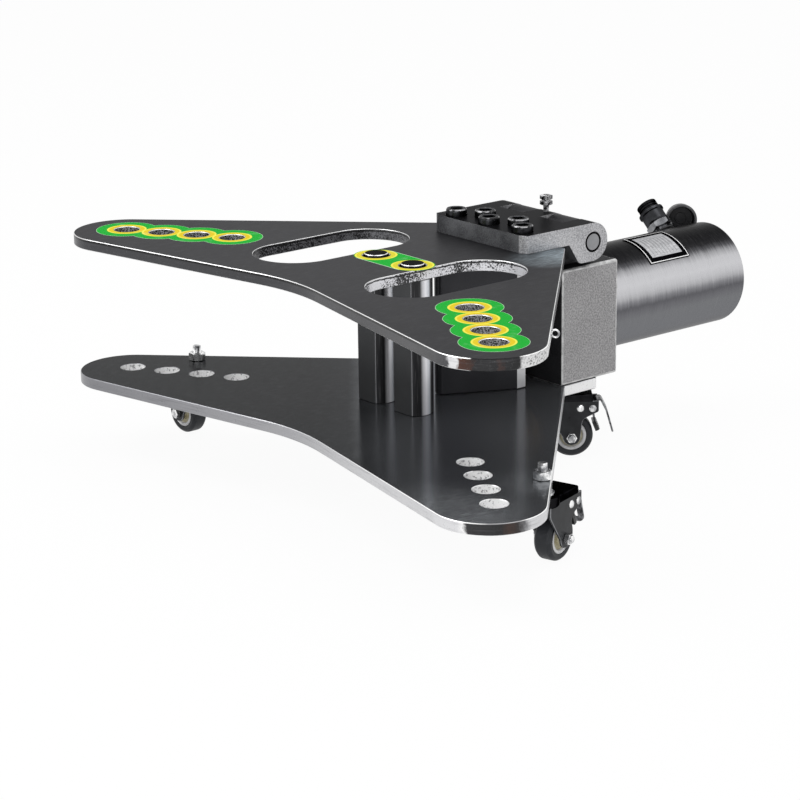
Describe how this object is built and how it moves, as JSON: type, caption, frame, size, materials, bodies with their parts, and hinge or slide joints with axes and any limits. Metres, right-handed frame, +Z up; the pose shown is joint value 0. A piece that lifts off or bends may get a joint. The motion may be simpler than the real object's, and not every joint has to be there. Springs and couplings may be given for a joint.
{
  "type": "busbar bending machine",
  "caption": "Hydraulic busbar bending machine: bow-tie plates, flip-up top, wedge punch on a ram, bending posts and braked casters.",
  "frame": {"origin": "on the floor under the middle of the machine's length and width", "axes": "+X to the right wing, +Y from the open front towards the cylinder, +Z up"},
  "size_m": [0.75, 0.716, 0.2961],
  "materials": {
    "plate_steel": "ground and browned, satin",
    "cast_steel": "speckled grey coat",
    "black_steel": "black oxide",
    "bright_steel": "turned and brushed",
    "bronze": "turned",
    "zinc": "zinc plated",
    "spring_steel": "oiled",
    "nitrile": "moulded",
    "rubber": "moulded, matt",
    "tyre_rubber": "smooth tread",
    "hub_plastic": "moulded",
    "foil": "bare name plate"
  },
  "bodies": {
    "frame": {"lower_plate": "plate_steel", "head_block": "cast_steel", "hinge_knuckle_left": "cast_steel", "hinge_knuckle_right": "cast_steel", "cylinder_barrel": "bright_steel", "cylinder_end_plug": "black_steel", "rod_bush": "bronze", "port_adapter": "bright_steel", "coupler_sleeve": "black_steel", "coupler_nose": "black_steel", "name_plate": "foil", "caster_nut_left": "zinc", "caster_nut_right": "zinc", "stem_left": "zinc", "stem_right": "zinc", "stem_rear_left": "zinc", "stem_rear_right": "zinc", "return_spring": "spring_steel"},
    "top": {"upper_plate": "plate_steel", "hinge_leaf": "cast_steel", "hinge_pin": "zinc", "cap_screw_1": "black_steel", "cap_screw_2": "black_steel", "cap_screw_3": "black_steel", "cap_screw_4": "black_steel", "cap_screw_5": "black_steel", "plate_eye": "zinc"},
    "lock_screw": {"hinge_lock_screw": "zinc"},
    "ram": {"piston_rod": "bright_steel", "piston": "bright_steel", "piston_seal": "nitrile", "punch": "black_steel"},
    "post_left": {"post_left": "bright_steel"},
    "post_right": {"post_right": "bright_steel"},
    "dust_cap": {"dust_cap": "rubber"},
    "swivel_left": {"fork_left": "black_steel", "axle_bolt_left": "zinc", "axle_nut_left": "zinc"},
    "wheel_left": {"tyre_left": "tyre_rubber", "hub_left": "hub_plastic"},
    "brake_left": {"brake_lever_left": "zinc"},
    "swivel_right": {"fork_right": "black_steel", "axle_bolt_right": "zinc", "axle_nut_right": "zinc"},
    "wheel_right": {"tyre_right": "tyre_rubber", "hub_right": "hub_plastic"},
    "brake_right": {"brake_lever_right": "zinc"},
    "swivel_rear_left": {"fork_rear_left": "black_steel", "axle_bolt_rear_left": "zinc", "axle_nut_rear_left": "zinc"},
    "wheel_rear_left": {"tyre_rear_left": "tyre_rubber", "hub_rear_left": "hub_plastic"},
    "brake_rear_left": {"brake_lever_rear_left": "zinc"},
    "swivel_rear_right": {"fork_rear_right": "black_steel", "axle_bolt_rear_right": "zinc", "axle_nut_rear_right": "zinc"},
    "wheel_rear_right": {"tyre_rear_right": "tyre_rubber", "hub_rear_right": "hub_plastic"},
    "brake_rear_right": {"brake_lever_rear_right": "zinc"}
  },
  "joints": [
    {"name": "top_plate_flip", "type": "hinge", "parent": "frame", "child": "top", "pos_m": [0, 0.06301, 0.2553], "axis": [-1, 0, 0], "range_deg": [0, 100]},
    {"name": "ram_slide", "type": "slide", "parent": "frame", "child": "ram", "axis": [0, -1, 0], "range_m": [0, 0.06], "stiffness_N_per_m": 4000, "springref_m": -0.02, "deforming": ["return_spring"]},
    {"name": "post_left_turn", "type": "hinge", "parent": "frame", "child": "post_left", "pos_m": [-0.0315, -0.15939, 0.1684], "axis": [0, 0, 1], "continuous": true},
    {"name": "post_right_turn", "type": "hinge", "parent": "frame", "child": "post_right", "pos_m": [0.0315, -0.15939, 0.1684], "axis": [0, 0, 1], "continuous": true},
    {"name": "lock_screw_turn", "type": "hinge", "parent": "top", "child": "lock_screw", "pos_m": [0, 0.06301, 0.285], "axis": [0, 0, 1], "continuous": true},
    {"name": "dust_cap_swing", "type": "hinge", "parent": "frame", "child": "dust_cap", "pos_m": [-0.0479, 0.29901, 0.20717], "axis": [-0.7314, 0, 0.682], "range_deg": [-20, 40]},
    {"name": "swivel_left_turn", "type": "hinge", "parent": "frame", "child": "swivel_left", "pos_m": [-0.2955, -0.22099, 0.07], "axis": [0, 0, 1], "continuous": true},
    {"name": "wheel_left_spin", "type": "hinge", "parent": "swivel_left", "child": "wheel_left", "pos_m": [-0.3175, -0.22137, 0.025], "axis": [0.0175, -0.9998, 0], "continuous": true},
    {"name": "brake_left_press", "type": "hinge", "parent": "swivel_left", "child": "brake_left", "pos_m": [-0.34149, -0.22179, 0.059], "axis": [0.0175, -0.9998, 0], "range_deg": [0, 5]},
    {"name": "swivel_right_turn", "type": "hinge", "parent": "frame", "child": "swivel_right", "pos_m": [0.2955, -0.20899, 0.07], "axis": [0, 0, 1], "continuous": true},
    {"name": "wheel_right_spin", "type": "hinge", "parent": "swivel_right", "child": "wheel_right", "pos_m": [0.28907, -0.18795, 0.025], "axis": [-0.9563, -0.2924, 0], "continuous": true},
    {"name": "brake_right_press", "type": "hinge", "parent": "swivel_right", "child": "brake_right", "pos_m": [0.28205, -0.165, 0.059], "axis": [-0.9563, -0.2924, 0], "range_deg": [0, 5]},
    {"name": "swivel_rear_left_turn", "type": "hinge", "parent": "frame", "child": "swivel_rear_left", "pos_m": [-0.034, 0.04201, 0.07], "axis": [0, 0, 1], "range_deg": [-13, 167]},
    {"name": "wheel_rear_left_spin", "type": "hinge", "parent": "swivel_rear_left", "child": "wheel_rear_left", "pos_m": [-0.03706, 0.0638, 0.025], "axis": [-0.9903, -0.1392, 0], "continuous": true},
    {"name": "brake_rear_left_press", "type": "hinge", "parent": "swivel_rear_left", "child": "brake_rear_left", "pos_m": [-0.0404, 0.08757, 0.059], "axis": [-0.9903, -0.1392, 0], "range_deg": [0, 5]},
    {"name": "swivel_rear_right_turn", "type": "hinge", "parent": "frame", "child": "swivel_rear_right", "pos_m": [0.034, 0.04201, 0.07], "axis": [0, 0, 1], "range_deg": [-136, 44]},
    {"name": "wheel_rear_right_spin", "type": "hinge", "parent": "swivel_rear_right", "child": "wheel_rear_right", "pos_m": [0.04784, 0.05911, 0.025], "axis": [-0.7771, 0.6293, 0], "continuous": true},
    {"name": "brake_rear_right_press", "type": "hinge", "parent": "swivel_rear_right", "child": "brake_rear_right", "pos_m": [0.06295, 0.07776, 0.059], "axis": [-0.7771, 0.6293, 0], "range_deg": [0, 5]}
  ]
}
